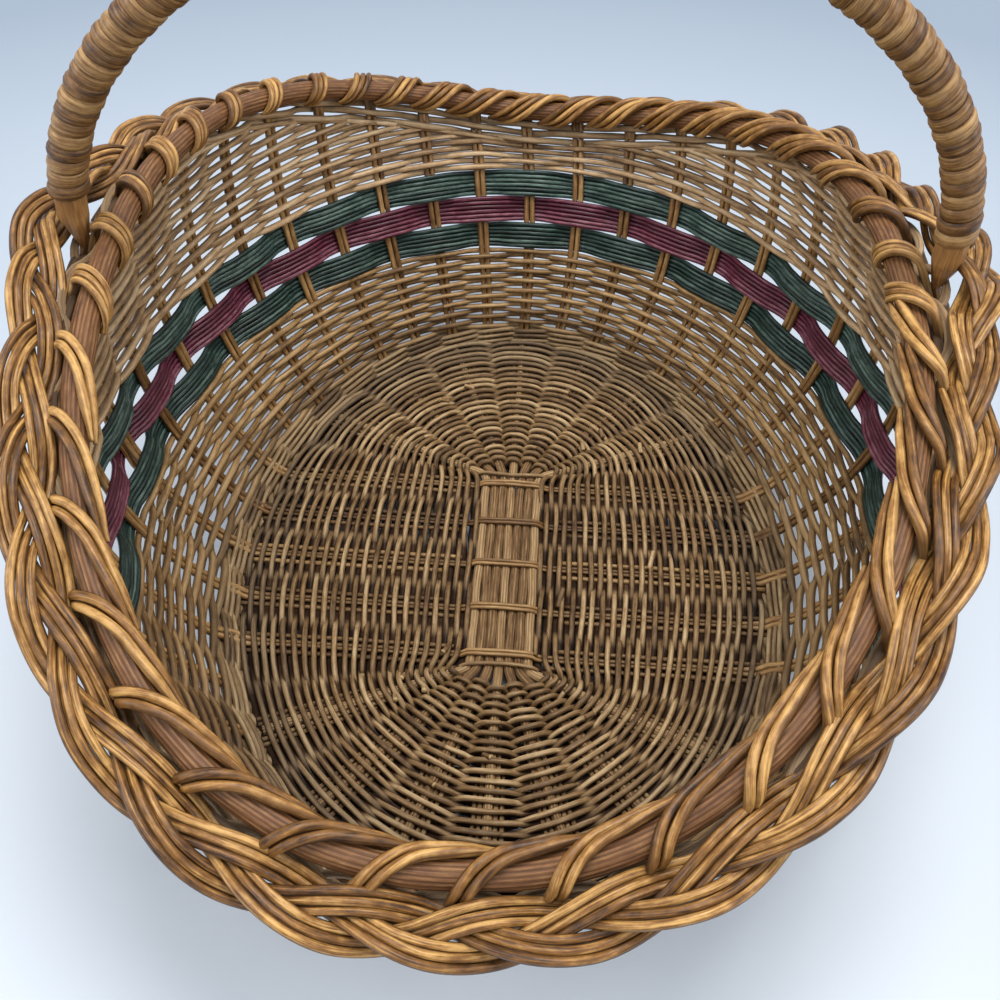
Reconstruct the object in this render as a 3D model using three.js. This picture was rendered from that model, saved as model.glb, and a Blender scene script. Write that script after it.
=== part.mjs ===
// Oval harvest basket of woven rattan: a slath base, flaring walls with three coloured bands,
// a saddle-shaped rim with a plaited border, and a fixed hoop handle wrapped in cane.
// Millimetres, +Z up. The basket stands on z = 0, its long axis lies along Y and the handle spans X.

import * as THREE from 'three';

// Plan of the basket: half width along X and half length along Y
const baseHalfWidth = 130;
const baseHalfLength = 176;
const bellyHalfWidth = 174;
const bellyHalfLength = 207;
const hoopHalfWidth = 151;
const hoopHalfLength = 223;
const hoopSquareness = 2.3; // 2 is a plain ellipse, more is squarer
const rimLean = new THREE.Vector3(-5, 6, 0); // the hand-woven rim sits a little off the base's middle

// Heights above the base's middle plane
const bellyRise = 72;
const hoopRise = 152;
const saddleRise = 31; // the rim is this much higher at the handle and lower at the ends
const rimTwist = -4; // and a little uneven from corner to corner, as hand-made rims are

// Sticks, stakes and weavers
const longStickCount = 7;
const crossStakeCount = 5;
const stickSize = 4.2;
const slathHalfLength = 62;
const stakeWidth = 6.4; // a stake is two rods side by side
const stakeThickness = 3;
const weaverThickness = 2.6;
const baseLift = 1; // the woven base clears the ground by this much

// Woven rows: each strap stands for a few thin weavers that travel together
const baseRows = 6;
const lowerRows = 5;
const upperRows = 4;
const bandRowHeight = 14.5;

// Foot wale
const waleInset = 6.5;
const waleSpread = 7;
const waleClimb = 9;

// Rim
const hoopRadius = 5;
const hookLead = 0.75; // a stake end moves on by this share of a stake spacing as it turns over
const hookEnd = THREE.MathUtils.degToRad(195);
const hookStep = THREE.MathUtils.degToRad(47);
const rimSpread = 0.15; // evens out the stake spacing along the rim
const rimClearance = 10.5;

// Plait outside the rim
const plaitLoops = 11;
const plaitRodRadius = 2.1;
const plaitSwing = 4.4;
const plaitLift = 3.7;
const plaitElevation = THREE.MathUtils.degToRad(5); // beside the handle
const plaitDroop = THREE.MathUtils.degToRad(25); // the plait hangs this much lower at the ends
const plaitDetour = 60;

// Handle
const handleRise = 127;
const handleSkew = 6; // the hoop's top stands this far to the right of its feet's middle
const handleRadius = 6;
const tongueThickness = 3;
const tongueReach = 12; // how far the tongue goes below the bands
const wrapLoops = 24;
const wrapThickness = 1.2;
const wrapSeat = 0.4;
const wrapGap = 1;
const wrapStart = 14; // the wrap starts this far above the rim hoop's middle

// Clearances between separate pieces
const seatGap = 0.3;
const hookGap = 0.5;
const weaveClearance = 0.9;
const rowGap = 0.7;
const waleClearance = 0.7;

const TAU = Math.PI * 2;
const endStakeCount = 2 * longStickCount + 1;
const stationCount = 2 * (crossStakeCount + endStakeCount);
const stationStep = TAU / stationCount;
const stakeHalf = stakeThickness / 2;
const stickHalf = stickSize / 2;
const stickPitch = stickSize + seatGap;
const slathHalfWidth = longStickCount * stickPitch / 2;
const fanRun = 24; // the fanned sticks are far enough apart for weaving from here on
const crossDrop = stickHalf + seatGap + stakeHalf; // from over the slath down to the base's middle
const up = new THREE.Vector3(0, 0, 1);
const nudge = 1e-4; // small step in an angle, height or share, to find a direction

// Stations run counter-clockwise: the cross stakes of the right side, the far end's stakes,
// the left side's and the near end's. Every second end station carries a long stick in the base.
function makeStation(index) {
  const halfRound = crossStakeCount + endStakeCount;
  const far = index < halfRound;
  const local = index % halfRound;
  const isCross = local < crossStakeCount;
  const endIndex = local - crossStakeCount;
  const isStick = !isCross && endIndex % 2 === 1;
  const spokesBefore = isCross ? local : crossStakeCount + Math.floor(endIndex / 2);
  return {
    index,
    angle: (index - (crossStakeCount - 1) / 2) * stationStep,
    side: far ? 1 : -1,
    isCross,
    isStick,
    endIndex,
    spoke: spokesBefore + (far ? 0 : crossStakeCount + longStickCount),
  };
}
const stations = Array.from({ length: stationCount }, (_, index) => makeStation(index));
const stationAt = (count) => stations[((count % stationCount) + stationCount) % stationCount];

// The middle cross stake's station on each side also takes a leg of the handle
const handleRow = Math.floor((crossStakeCount - 1) / 2);
const handleStations = [
  stationAt(handleRow),
  stationAt(crossStakeCount + endStakeCount + crossStakeCount - 1 - handleRow),
];

// How far a weaver's middle stands off a stake's middle, so that it clears the stake's corners
function weaverReach(halfThickness, halfWidth, spacing) {
  const stand = halfThickness + weaveClearance + weaverThickness / 2;
  return stand / (1 - 2 * halfWidth / spacing);
}

const ovalPoint = (angle, halfX, halfY, z) => (
  new THREE.Vector3(halfX * Math.cos(angle), halfY * Math.sin(angle), z)
);

// Where the line from start to end crosses an oval
function crossOval(start, end, halfX, halfY) {
  const run = end.clone().sub(start);
  const a = (run.x / halfX) ** 2 + (run.y / halfY) ** 2;
  const b = 2 * (start.x * run.x / halfX ** 2 + start.y * run.y / halfY ** 2);
  const c = (start.x / halfX) ** 2 + (start.y / halfY) ** 2 - 1;
  const share = (-b + Math.sqrt(b * b - 4 * a * c)) / (2 * a);
  return start.clone().addScaledVector(run, share);
}

// In the base each station has a straight spoke line from the slath to the base's edge
function spokeStart(station) {
  const edge = ovalPoint(station.angle, baseHalfWidth, baseHalfLength, 0);
  if (station.isCross) {
    return new THREE.Vector3(Math.sign(edge.x) * slathHalfWidth, edge.y, 0);
  }
  const across = (station.endIndex - (endStakeCount - 1) / 2) / 2;
  const x = -station.side * across * stickPitch;
  return new THREE.Vector3(x, station.side * slathHalfLength, 0);
}

const spokeEnd = (station) => ovalPoint(station.angle, baseHalfWidth, baseHalfLength, 0);

function weaveStart(station) {
  const start = spokeStart(station);
  if (station.isCross) {
    const shift = crossDrop + stakeHalf + weaverThickness;
    return start.add(new THREE.Vector3(Math.sign(start.x) * shift, 0, 0));
  }
  const end = spokeEnd(station);
  return start.lerp(end, fanRun / start.distanceTo(end));
}

const weaveEnd = (station) => {
  const margin = waleInset + waleClearance;
  return crossOval(spokeStart(station), spokeEnd(station), baseHalfWidth - margin, baseHalfLength - margin);
};

// Base, from the inner edge of its weave (share 0) to its outer edge (share 1)
const basePoint = (station, share) => weaveStart(station).lerp(weaveEnd(station), share);

// The weave of the base passes over one spoke and under the next
function baseReach(station, share) {
  const here = basePoint(station, share);
  const neighbours = station.isCross ? [-1, 1] : [-2, 2];
  const spacings = neighbours.map((step) => (
    here.distanceTo(basePoint(stationAt(station.index + step), share))
  ));
  const [thickness, width] = station.isCross ? [stakeHalf, stakeWidth / 2] : [stickHalf, stickHalf];
  return weaverReach(thickness, width, Math.min(...spacings));
}

function baseWeaveOffset(station, share, phase) {
  if (!station.isCross && !station.isStick) {
    return 0;
  }
  return (station.spoke % 2 === 0 ? phase : -phase) * baseReach(station, share);
}

const stickStations = stations.filter((station) => station.isStick);
const deepestReach = Math.max(...stickStations.map((station) => baseReach(station, 0)));
const baseMiddle = baseLift + deepestReach + weaverThickness / 2;
const bellyHeight = baseMiddle + bellyRise;
const hoopHeight = baseMiddle + hoopRise;

// Rim hoop: an oval whose height follows a saddle, with a frame at each angle
const rimAngle = (angle) => angle - rimSpread / 2 * Math.sin(2 * angle);

function hoopPoint(angle) {
  const turned = rimAngle(angle);
  const powers = Math.abs(Math.cos(turned)) ** hoopSquareness + Math.abs(Math.sin(turned)) ** hoopSquareness;
  const bulge = powers ** (-1 / hoopSquareness);
  const z = hoopHeight + saddleRise * Math.cos(2 * turned) + rimTwist * Math.sin(2 * turned);
  return ovalPoint(turned, hoopHalfWidth * bulge, hoopHalfLength * bulge, z).add(rimLean);
}

function hoopFrame(angle) {
  const along = hoopPoint(angle + nudge).sub(hoopPoint(angle - nudge)).normalize();
  const out = new THREE.Vector3().crossVectors(along, up).normalize();
  const rise = new THREE.Vector3().crossVectors(out, along);
  return { point: hoopPoint(angle), along, out, rise };
}

// Point round the hoop at a distance from its middle: 0 is outward and a quarter turn is up
function roundHoop(frame, distance, turn) {
  return frame.point.clone()
    .addScaledVector(frame.out, distance * Math.cos(turn))
    .addScaledVector(frame.rise, distance * Math.sin(turn));
}

const hookRadius = (hoopRadius + hookGap + stakeHalf) / Math.cos(hookStep / 2);
const hookCorner = Math.hypot(hookRadius + stakeHalf, stakeWidth / 2 * Math.SQRT1_2);

// Wall: each station's line is a parabola from the base's edge (0) through the belly to the rim (2),
// where it meets the turned stake ends at a tangent
function wallKnots(angle) {
  const foot = ovalPoint(angle, baseHalfWidth, baseHalfLength, baseMiddle);
  const belly = ovalPoint(angle, bellyHalfWidth, bellyHalfLength, bellyHeight);
  const frame = hoopFrame(angle);
  const below = foot.distanceTo(belly);
  const above = belly.distanceTo(frame.point);
  return { foot, belly, frame, middle: 2 * below / (below + above) };
}

const bellyAt = (angle) => wallKnots(angle).middle;

// Slope of the wall's line where it reaches the rim, for a top point
function topSlope({ foot, belly, middle }, top) {
  return new THREE.Vector3()
    .addScaledVector(foot, (2 - middle) / (2 * middle))
    .addScaledVector(belly, 2 / (middle * (middle - 2)))
    .addScaledVector(top, (4 - middle) / (2 * (2 - middle)));
}

// Turn round the hoop at which the wall's line touches it
function wallLean(angle) {
  const knots = wallKnots(angle);
  const refinements = 12;
  let lean = 0;
  for (let count = 0; count < refinements; count += 1) {
    const slope = topSlope(knots, roundHoop(knots.frame, hookRadius, lean));
    lean = (lean + Math.atan2(-slope.dot(knots.frame.out), slope.dot(knots.frame.rise))) / 2;
  }
  return lean;
}

function wallPoint(angle, height) {
  const { foot, belly, frame, middle } = wallKnots(angle);
  const top = roundHoop(frame, hookRadius, wallLean(angle));
  return new THREE.Vector3()
    .addScaledVector(foot, (height - middle) * (height - 2) / (2 * middle))
    .addScaledVector(belly, height * (height - 2) / (middle * (middle - 2)))
    .addScaledVector(top, height * (height - middle) / (2 * (2 - middle)));
}

function wallFrame(angle, height) {
  const rise = wallPoint(angle, height + nudge).sub(wallPoint(angle, height - nudge));
  const speed = rise.length() / (2 * nudge);
  rise.normalize();
  const run = wallPoint(angle + nudge, height).sub(wallPoint(angle - nudge, height)).normalize();
  const out = new THREE.Vector3().crossVectors(run, rise).normalize();
  const along = new THREE.Vector3().crossVectors(rise, out);
  return { point: wallPoint(angle, height), out, along, rise, speed };
}

const wallOffset = (angle, height, offset) => {
  const frame = wallFrame(angle, height);
  return frame.point.addScaledVector(frame.out, offset);
};

// Height on the wall that lies this many millimetres above or below another height
const heightNear = (angle, height, distance) => height + distance / wallFrame(angle, height).speed;

// Outside the stake at a handle station the weavers also go round the handle's tongue
function wallWeaveOffset(station, height, phase) {
  const sign = station.index % 2 === 0 ? phase : -phase;
  const here = wallPoint(station.angle, height);
  const spacing = here.distanceTo(wallPoint(station.angle + stationStep, height));
  const hasTongue = sign > 0 && handleStations.includes(station);
  const thickness = stakeHalf + (hasTongue ? seatGap + tongueThickness : 0);
  return sign * weaverReach(thickness, stakeWidth / 2, spacing);
}

// A closed body lofted through sections of equal size; a ring joins its last section to its first
function loft(sections, ring = false) {
  const sides = sections[0].length;
  const spans = ring ? sections.length : sections.length - 1;
  const index = [];
  for (let span = 0; span < spans; span += 1) {
    const here = span * sides;
    const next = ((span + 1) % sections.length) * sides;
    for (let side = 0; side < sides; side += 1) {
      const turn = (side + 1) % sides;
      index.push(here + side, here + turn, next + turn);
      index.push(here + side, next + turn, next + side);
    }
  }
  if (!ring) {
    const last = (sections.length - 1) * sides;
    for (let side = 1; side < sides - 1; side += 1) {
      index.push(0, side + 1, side);
      index.push(last, last + side, last + side + 1);
    }
  }
  const points = sections.flat();
  let volume = 0;
  for (let corner = 0; corner < index.length; corner += 3) {
    const [a, b, c] = index.slice(corner, corner + 3).map((at) => points[at]);
    volume += a.dot(new THREE.Vector3().crossVectors(b, c));
  }
  if (volume < 0) {
    index.reverse();
  }
  const geometry = new THREE.BufferGeometry();
  geometry.setFromPoints(points);
  geometry.setIndex(index);
  geometry.computeVertexNormals();
  return geometry;
}

// Rectangular section round a point
function barSection(point, across, halfAcross, through, halfThrough) {
  return [[-1, -1], [1, -1], [1, 1], [-1, 1]].map(([a, t]) => (
    point.clone().addScaledVector(across, a * halfAcross).addScaledVector(through, t * halfThrough)
  ));
}

// Strap section on a surface given by place(share, offset)
function strapSection(place, low, high, offset) {
  const half = weaverThickness / 2;
  return [
    place(low, offset - half),
    place(low, offset + half),
    place(high, offset + half),
    place(high, offset - half),
  ];
}

// Two weavers chase each other through a zone. Each climbs two rows a turn, half a turn behind the
// other, and thins out at its start and its end, so that the zone begins and ends level.
function weaverSections({ rows, start, sectionAt }) {
  const taper = 0.2;
  const sections = [];
  for (let step = 0; 2 * step / stationCount - 1 < rows - taper; step += 1) {
    const top = 2 * step / stationCount;
    const low = Math.max(top - 1, 0) / rows;
    const high = Math.min(top, rows) / rows;
    if (top > taper) {
      sections.push(sectionAt(stationAt(start + step), low, high));
    }
  }
  return sections;
}

function baseWeaver(phase, start) {
  const sectionAt = (station, low, high) => {
    const length = basePoint(station, 0).distanceTo(basePoint(station, 1));
    const trim = rowGap / 2 / length;
    const place = (share, offset) => basePoint(station, share).setZ(baseMiddle + offset);
    return strapSection(place, low + trim, high - trim, baseWeaveOffset(station, low, phase));
  };
  return loft(weaverSections({ rows: baseRows, start, sectionAt }));
}

// A zone of the wall between two heights, each a function of the angle
function wallWeaver(rows, phase, start, bottom, top) {
  const sectionAt = (station, low, high) => {
    const from = bottom(station.angle);
    const size = top(station.angle) - from;
    const trim = rowGap / 2 / wallFrame(station.angle, from).speed;
    const place = (height, offset) => wallOffset(station.angle, height, offset);
    const middle = from + size * (low + high) / 2;
    const offset = wallWeaveOffset(station, middle, phase);
    return strapSection(place, from + size * low + trim, from + size * high - trim, offset);
  };
  return loft(weaverSections({ rows, start, sectionAt }));
}

// A coloured band is one closed serpentine row; row 0 is centred on the belly
const bandEdge = (row) => (angle) => heightNear(angle, bellyAt(angle), row * bandRowHeight);

function bandRing(row, phase) {
  const sections = stations.map((station) => {
    const low = bandEdge(row - 0.5)(station.angle);
    const high = bandEdge(row + 0.5)(station.angle);
    const middle = (low + high) / 2;
    const trim = rowGap / 2 / wallFrame(station.angle, middle).speed;
    const place = (height, offset) => wallOffset(station.angle, height, offset);
    return strapSection(place, low + trim, high - trim, wallWeaveOffset(station, middle, phase));
  });
  return loft(sections, true);
}

const footEdge = (angle) => heightNear(angle, 0, waleClimb);
const rimEdge = (angle) => heightNear(angle, 2, -rimClearance);

// Stakes climb the wall and turn diagonally over the rim hoop from outside to inside
const wallSegments = 8;

function wallStretch(station) {
  const sections = [];
  for (let step = 0; step <= wallSegments; step += 1) {
    const frame = wallFrame(station.angle, 2 * step / wallSegments);
    sections.push(barSection(frame.point, frame.along, stakeWidth / 2, frame.out, stakeHalf));
  }
  return sections;
}

function hookStretch(station) {
  const sections = [];
  const lean = wallLean(station.angle);
  const segments = Math.ceil((hookEnd - lean) / hookStep);
  const pathAt = (share) => {
    const frame = hoopFrame(station.angle + share * hookLead * stationStep);
    return roundHoop(frame, hookRadius, lean + share * (hookEnd - lean));
  };
  for (let step = 1; step <= segments; step += 1) {
    const share = step / segments;
    const point = pathAt(share);
    const forward = pathAt(share + nudge).sub(pathAt(share - nudge)).normalize();
    const frame = hoopFrame(station.angle + share * hookLead * stationStep);
    const out = point.clone().sub(frame.point).normalize();
    const along = new THREE.Vector3().crossVectors(forward, out).normalize();
    sections.push(barSection(point, along, stakeWidth / 2, out, stakeHalf));
  }
  return sections;
}

const endStake = (station) => loft([...wallStretch(station), ...hookStretch(station)]);

// Mitre between the base's downward face and the wall's outward face
function mitre(wallOut) {
  const down = up.clone().negate();
  return wallOut.clone().add(down).divideScalar(1 + wallOut.dot(down));
}

// A cross stake runs over the slath and climbs both sides in one piece
function crossStake(row) {
  const right = stationAt(row);
  const left = stationAt(crossStakeCount + endStakeCount + crossStakeCount - 1 - row);
  const wing = (station) => {
    const climb = wallStretch(station);
    const foot = wallFrame(station.angle, 0);
    climb[0] = barSection(foot.point, foot.along, stakeWidth / 2, mitre(foot.out), stakeHalf);
    return [...climb, ...hookStretch(station)];
  };
  const y = spokeStart(right).y;
  const down = up.clone().negate();
  const across = new THREE.Vector3(0, 1, 0);
  const level = (x, z) => barSection(new THREE.Vector3(x, y, z), across, stakeWidth / 2, down, stakeHalf);
  const over = baseMiddle + crossDrop;
  const shoulder = slathHalfWidth;
  const landing = shoulder + crossDrop;
  const leftWing = wing(left).reverse().map(([a, b, c, d]) => [b, a, d, c]);
  return loft([
    ...leftWing,
    level(-landing, baseMiddle),
    level(-shoulder, over),
    level(shoulder, over),
    level(landing, baseMiddle),
    ...wing(right),
  ]);
}

// A long stick lies straight in the slath and fans out at both ends to the foot wale
function longStick(number) {
  const endGap = stakeHalf + stickHalf;
  const far = stationAt(crossStakeCount + 1 + 2 * number);
  const near = stationAt(stationCount - 2 - 2 * number);
  const straight = (x, y) => (
    barSection(new THREE.Vector3(x, y, baseMiddle), new THREE.Vector3(1, 0, 0), stickHalf, up, stickHalf)
  );
  const outerEnd = (station) => {
    const start = spokeStart(station);
    const end = spokeEnd(station);
    const length = start.distanceTo(end);
    const point = start.clone().lerp(end, 1 - endGap / length).setZ(baseMiddle);
    const along = end.clone().sub(start).setZ(0).normalize();
    const across = new THREE.Vector3().crossVectors(along, up).multiplyScalar(station.side);
    return barSection(point, across, stickHalf, up, stickHalf);
  };
  const x = spokeStart(far).x;
  return loft([
    outerEnd(near),
    straight(x, -slathHalfLength),
    straight(x, slathHalfLength),
    outerEnd(far),
  ]);
}

// The foot wale binds the stakes where they turn up, and the basket stands on its flat underside
function footWale() {
  const gap = stakeHalf + waleClearance;
  const sections = stations.map(({ angle }) => {
    const foot = wallFrame(angle, 0);
    const climb = wallFrame(angle, heightNear(angle, 0, waleClimb - rowGap));
    const flatTop = baseMiddle - stickHalf - seatGap;
    const at = (shift, z) => ovalPoint(angle, baseHalfWidth + shift, baseHalfLength + shift, z);
    return [
      at(-waleInset, 0),
      at(waleSpread, 0),
      climb.point.clone().addScaledVector(climb.out, gap + waleInset),
      climb.point.clone().addScaledVector(climb.out, gap),
      foot.point.clone().addScaledVector(mitre(foot.out), gap),
      at(-waleInset, flatTop),
    ];
  });
  return loft(sections, true);
}

function rimHoop() {
  const steps = 2 * stationCount;
  const sides = 6;
  const sections = Array.from({ length: steps }, (_, step) => {
    const frame = hoopFrame(TAU * step / steps);
    return Array.from({ length: sides }, (__, side) => roundHoop(frame, hoopRadius, TAU * side / sides));
  });
  return loft(sections, true);
}

// The handle's leg stands outside the turned stakes, and the plait swings out round it
const handleY = hoopPoint(handleStations[0].angle).y;
const legOffset = hookCorner + seatGap + handleRadius;
const plaitOffset = hookCorner + seatGap + plaitSwing + plaitRodRadius;
const plaitSwingOut = legOffset + handleRadius + seatGap + plaitSwing + plaitRodRadius - plaitOffset;

function plaitBump(angle) {
  const point = hoopPoint(angle);
  const along = Math.abs(point.y - handleY);
  return along < plaitDetour ? plaitSwingOut * Math.cos(Math.PI / 2 * along / plaitDetour) ** 2 : 0;
}

function plaitStrand(number) {
  const stepsPerLoop = 8;
  const steps = plaitLoops * stepsPerLoop;
  const pathAt = (angle) => {
    const frame = hoopFrame(angle);
    const cycle = plaitLoops * angle + TAU * number / 3;
    const elevation = plaitElevation - plaitDroop * Math.sin(angle) ** 4;
    const outward = frame.out.clone().multiplyScalar(Math.cos(elevation))
      .addScaledVector(frame.rise, Math.sin(elevation));
    const upward = new THREE.Vector3().crossVectors(outward, frame.along);
    return frame.point
      .addScaledVector(outward, plaitOffset + plaitBump(angle) + plaitSwing * Math.sin(cycle))
      .addScaledVector(upward, plaitLift * Math.sin(2 * cycle));
  };
  const sections = Array.from({ length: steps }, (_, step) => {
    const angle = TAU * step / steps;
    const point = pathAt(angle);
    const forward = pathAt(angle + nudge).sub(pathAt(angle - nudge)).normalize();
    const side = new THREE.Vector3().crossVectors(forward, up).normalize();
    const over = new THREE.Vector3().crossVectors(side, forward);
    return [0, 1, 2, 3].map((quarter) => {
      const turn = quarter * TAU / 4;
      return point.clone()
        .addScaledVector(side, plaitRodRadius * Math.cos(turn))
        .addScaledVector(over, plaitRodRadius * Math.sin(turn));
    });
  });
  return loft(sections, true);
}

// Handle: a half oval above the rim, with a flat tongue at each foot that goes down behind the
// weavers beside the middle cross stake
const archFoot = hoopPoint(handleStations[0].angle);
const archHalf = hoopHalfWidth + legOffset;
const archMiddle = archFoot.z + handleRadius;

function archFrame(turn) {
  const x = rimLean.x + archHalf * Math.cos(turn) + handleSkew * Math.sin(turn);
  const point = new THREE.Vector3(x, handleY, archMiddle + handleRise * Math.sin(turn));
  const run = handleSkew * Math.cos(turn) - archHalf * Math.sin(turn);
  const forward = new THREE.Vector3(run, 0, handleRise * Math.cos(turn)).normalize();
  const out = new THREE.Vector3(forward.z, 0, -forward.x);
  return { point, forward, out };
}

const handleSides = 8;
const roundSection = ({ point, out }, radius) => (
  Array.from({ length: handleSides }, (_, side) => {
    const turn = TAU * (side + 0.5) / handleSides;
    return point.clone()
      .addScaledVector(out, radius * Math.cos(turn))
      .add(new THREE.Vector3(0, radius * Math.sin(turn), 0));
  })
);

// The tongue's section has the same eight corners, pressed flat
function tongueSection(station, height) {
  const frame = wallFrame(station.angle, height);
  const middle = stakeHalf + seatGap + tongueThickness / 2;
  return roundSection({ point: new THREE.Vector3(), out: new THREE.Vector3(1, 0, 0) }, 1).map((corner) => {
    const flat = corner.x * tongueThickness / 2 / Math.cos(TAU / handleSides / 2);
    const wide = corner.y * stakeWidth / 2 / Math.cos(TAU / handleSides / 2);
    return frame.point.clone()
      .addScaledVector(frame.out, middle + flat)
      .addScaledVector(new THREE.Vector3(0, 1, 0), wide);
  });
}

function handleCore() {
  const archSteps = 36;
  const tongue = (station) => {
    const bottom = heightNear(station.angle, bellyAt(station.angle), -(1.5 * bandRowHeight + tongueReach));
    const top = rimEdge(station.angle);
    const steps = Array.from({ length: wallSegments + 1 }, (_, step) => 2 * step / wallSegments);
    const apart = 0.02; // least difference in height between two sections
    const inner = steps.filter((height) => height > bottom + apart && height < top - apart);
    return [bottom, ...inner, top].map((height) => tongueSection(station, height));
  };
  const arch = Array.from({ length: archSteps + 1 }, (_, step) => (
    roundSection(archFrame(Math.PI * step / archSteps), handleRadius)
  ));
  const [right, left] = handleStations;
  return loft([...tongue(right), ...arch, ...tongue(left).reverse()]);
}

// Cane wrapped round the handle: one strip whose turns lie side by side
const archLength = (() => {
  const steps = 400;
  const turns = Array.from({ length: steps + 1 }, (_, step) => Math.PI * step / steps);
  const reach = [0];
  for (let step = 1; step <= steps; step += 1) {
    reach.push(reach[step - 1] + archFrame(turns[step]).point.distanceTo(archFrame(turns[step - 1]).point));
  }
  const turnAt = (distance) => {
    const step = Math.min(reach.findIndex((value) => value >= distance), steps) || 1;
    const share = (distance - reach[step - 1]) / (reach[step] - reach[step - 1]);
    return turns[step - 1] + share * (turns[step] - turns[step - 1]);
  };
  return { total: reach[steps], turnAt };
})();

function handleWrap() {
  const stepsPerLoop = 10;
  const inner = (handleRadius + wrapSeat) / Math.cos(TAU / stepsPerLoop / 2);
  const from = wrapStart - handleRadius;
  const length = archLength.total - 2 * from;
  const pitch = (length + wrapGap) / (wrapLoops + 1);
  const stripHalf = (pitch - wrapGap) / 2;
  const corner = (distance, radius, turn) => {
    const frame = archFrame(archLength.turnAt(distance));
    return frame.point
      .addScaledVector(frame.out, radius * Math.cos(turn))
      .add(new THREE.Vector3(0, radius * Math.sin(turn), 0));
  };
  const steps = wrapLoops * stepsPerLoop;
  const sections = Array.from({ length: steps + 1 }, (_, step) => {
    const turn = TAU * step / stepsPerLoop;
    const middle = from + stripHalf + pitch * step / stepsPerLoop;
    return [
      corner(middle - stripHalf, inner, turn),
      corner(middle + stripHalf, inner, turn),
      corner(middle + stripHalf, inner + wrapThickness, turn),
      corner(middle - stripHalf, inner + wrapThickness, turn),
    ];
  });
  let least = Infinity;
  for (let step = 0; step + stepsPerLoop <= steps; step += 1) {
    const here = sections[step];
    const next = sections[step + stepsPerLoop];
    least = Math.min(least, here[1].distanceTo(next[0]), here[2].distanceTo(next[3]));
  }
  console.log(`handle wrap: least gap between its turns ${least.toFixed(2)} mm`);
  return loft(sections);
}

// Finishes, from the photograph
const finishes = {
  base: new THREE.MeshStandardMaterial({ color: 0x7a6344, roughness: 0.8, metalness: 0 }),
  stick: new THREE.MeshStandardMaterial({ color: 0x86694a, roughness: 0.75, metalness: 0 }),
  stake: new THREE.MeshStandardMaterial({ color: 0xa07a45, roughness: 0.6, metalness: 0 }),
  wall: new THREE.MeshStandardMaterial({ color: 0x9c7a48, roughness: 0.65, metalness: 0 }),
  green: new THREE.MeshStandardMaterial({ color: 0x24423a, roughness: 0.5, metalness: 0 }),
  burgundy: new THREE.MeshStandardMaterial({ color: 0x6a1f38, roughness: 0.5, metalness: 0 }),
  hoop: new THREE.MeshStandardMaterial({ color: 0x9a5f36, roughness: 0.45, metalness: 0 }),
  plait: new THREE.MeshStandardMaterial({ color: 0xb98a4c, roughness: 0.4, metalness: 0 }),
  cane: new THREE.MeshStandardMaterial({ color: 0xb07f49, roughness: 0.4, metalness: 0 }),
};

const basket = new THREE.Group();
basket.name = 'harvest_basket';

function addPiece(name, geometry, finish) {
  const mesh = new THREE.Mesh(geometry, finishes[finish].clone());
  mesh.name = name;
  basket.add(mesh);
}

const halfTurn = stationCount / 2;
addPiece('foot_wale', footWale(), 'base');
for (let number = 0; number < longStickCount; number += 1) {
  addPiece(`base_long_stick_${number + 1}`, longStick(number), 'stick');
}
for (let row = 0; row < crossStakeCount; row += 1) {
  addPiece(`cross_stake_${row + 1}`, crossStake(row), 'stake');
}
addPiece('base_weaver_1', baseWeaver(1, 0), 'base');
addPiece('base_weaver_2', baseWeaver(-1, halfTurn), 'base');

stations.filter((station) => !station.isCross).forEach((station, count) => {
  addPiece(`end_stake_${String(count + 1).padStart(2, '0')}`, endStake(station), 'stake');
});

addPiece('lower_weaver_1', wallWeaver(lowerRows, 1, 0, footEdge, bandEdge(-1.5)), 'wall');
addPiece('lower_weaver_2', wallWeaver(lowerRows, -1, halfTurn, footEdge, bandEdge(-1.5)), 'wall');
addPiece('lower_green_band', bandRing(-1, -1), 'green');
addPiece('burgundy_band', bandRing(0, 1), 'burgundy');
addPiece('upper_green_band', bandRing(1, -1), 'green');
addPiece('upper_weaver_1', wallWeaver(upperRows, 1, 0, bandEdge(1.5), rimEdge), 'wall');
addPiece('upper_weaver_2', wallWeaver(upperRows, -1, halfTurn, bandEdge(1.5), rimEdge), 'wall');

addPiece('rim_hoop', rimHoop(), 'hoop');
for (let number = 0; number < 3; number += 1) {
  addPiece(`plait_strand_${number + 1}`, plaitStrand(number), 'plait');
}
addPiece('handle_core', handleCore(), 'stick');
addPiece('handle_wrap', handleWrap(), 'cane');

// The origin lies under the middle of the whole basket
const middle = new THREE.Box3().setFromObject(basket).getCenter(new THREE.Vector3());
basket.children.forEach(({ geometry }) => geometry.translate(-middle.x, -middle.y, 0));

export default basket;
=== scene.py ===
# An oval harvest basket of woven rattan, rod by rod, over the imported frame.
# The shape is worked out in millimetres from the base's middle, and turned into metres in build().

import math

import bpy
import numpy as np
from mathutils import Matrix, Vector


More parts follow.
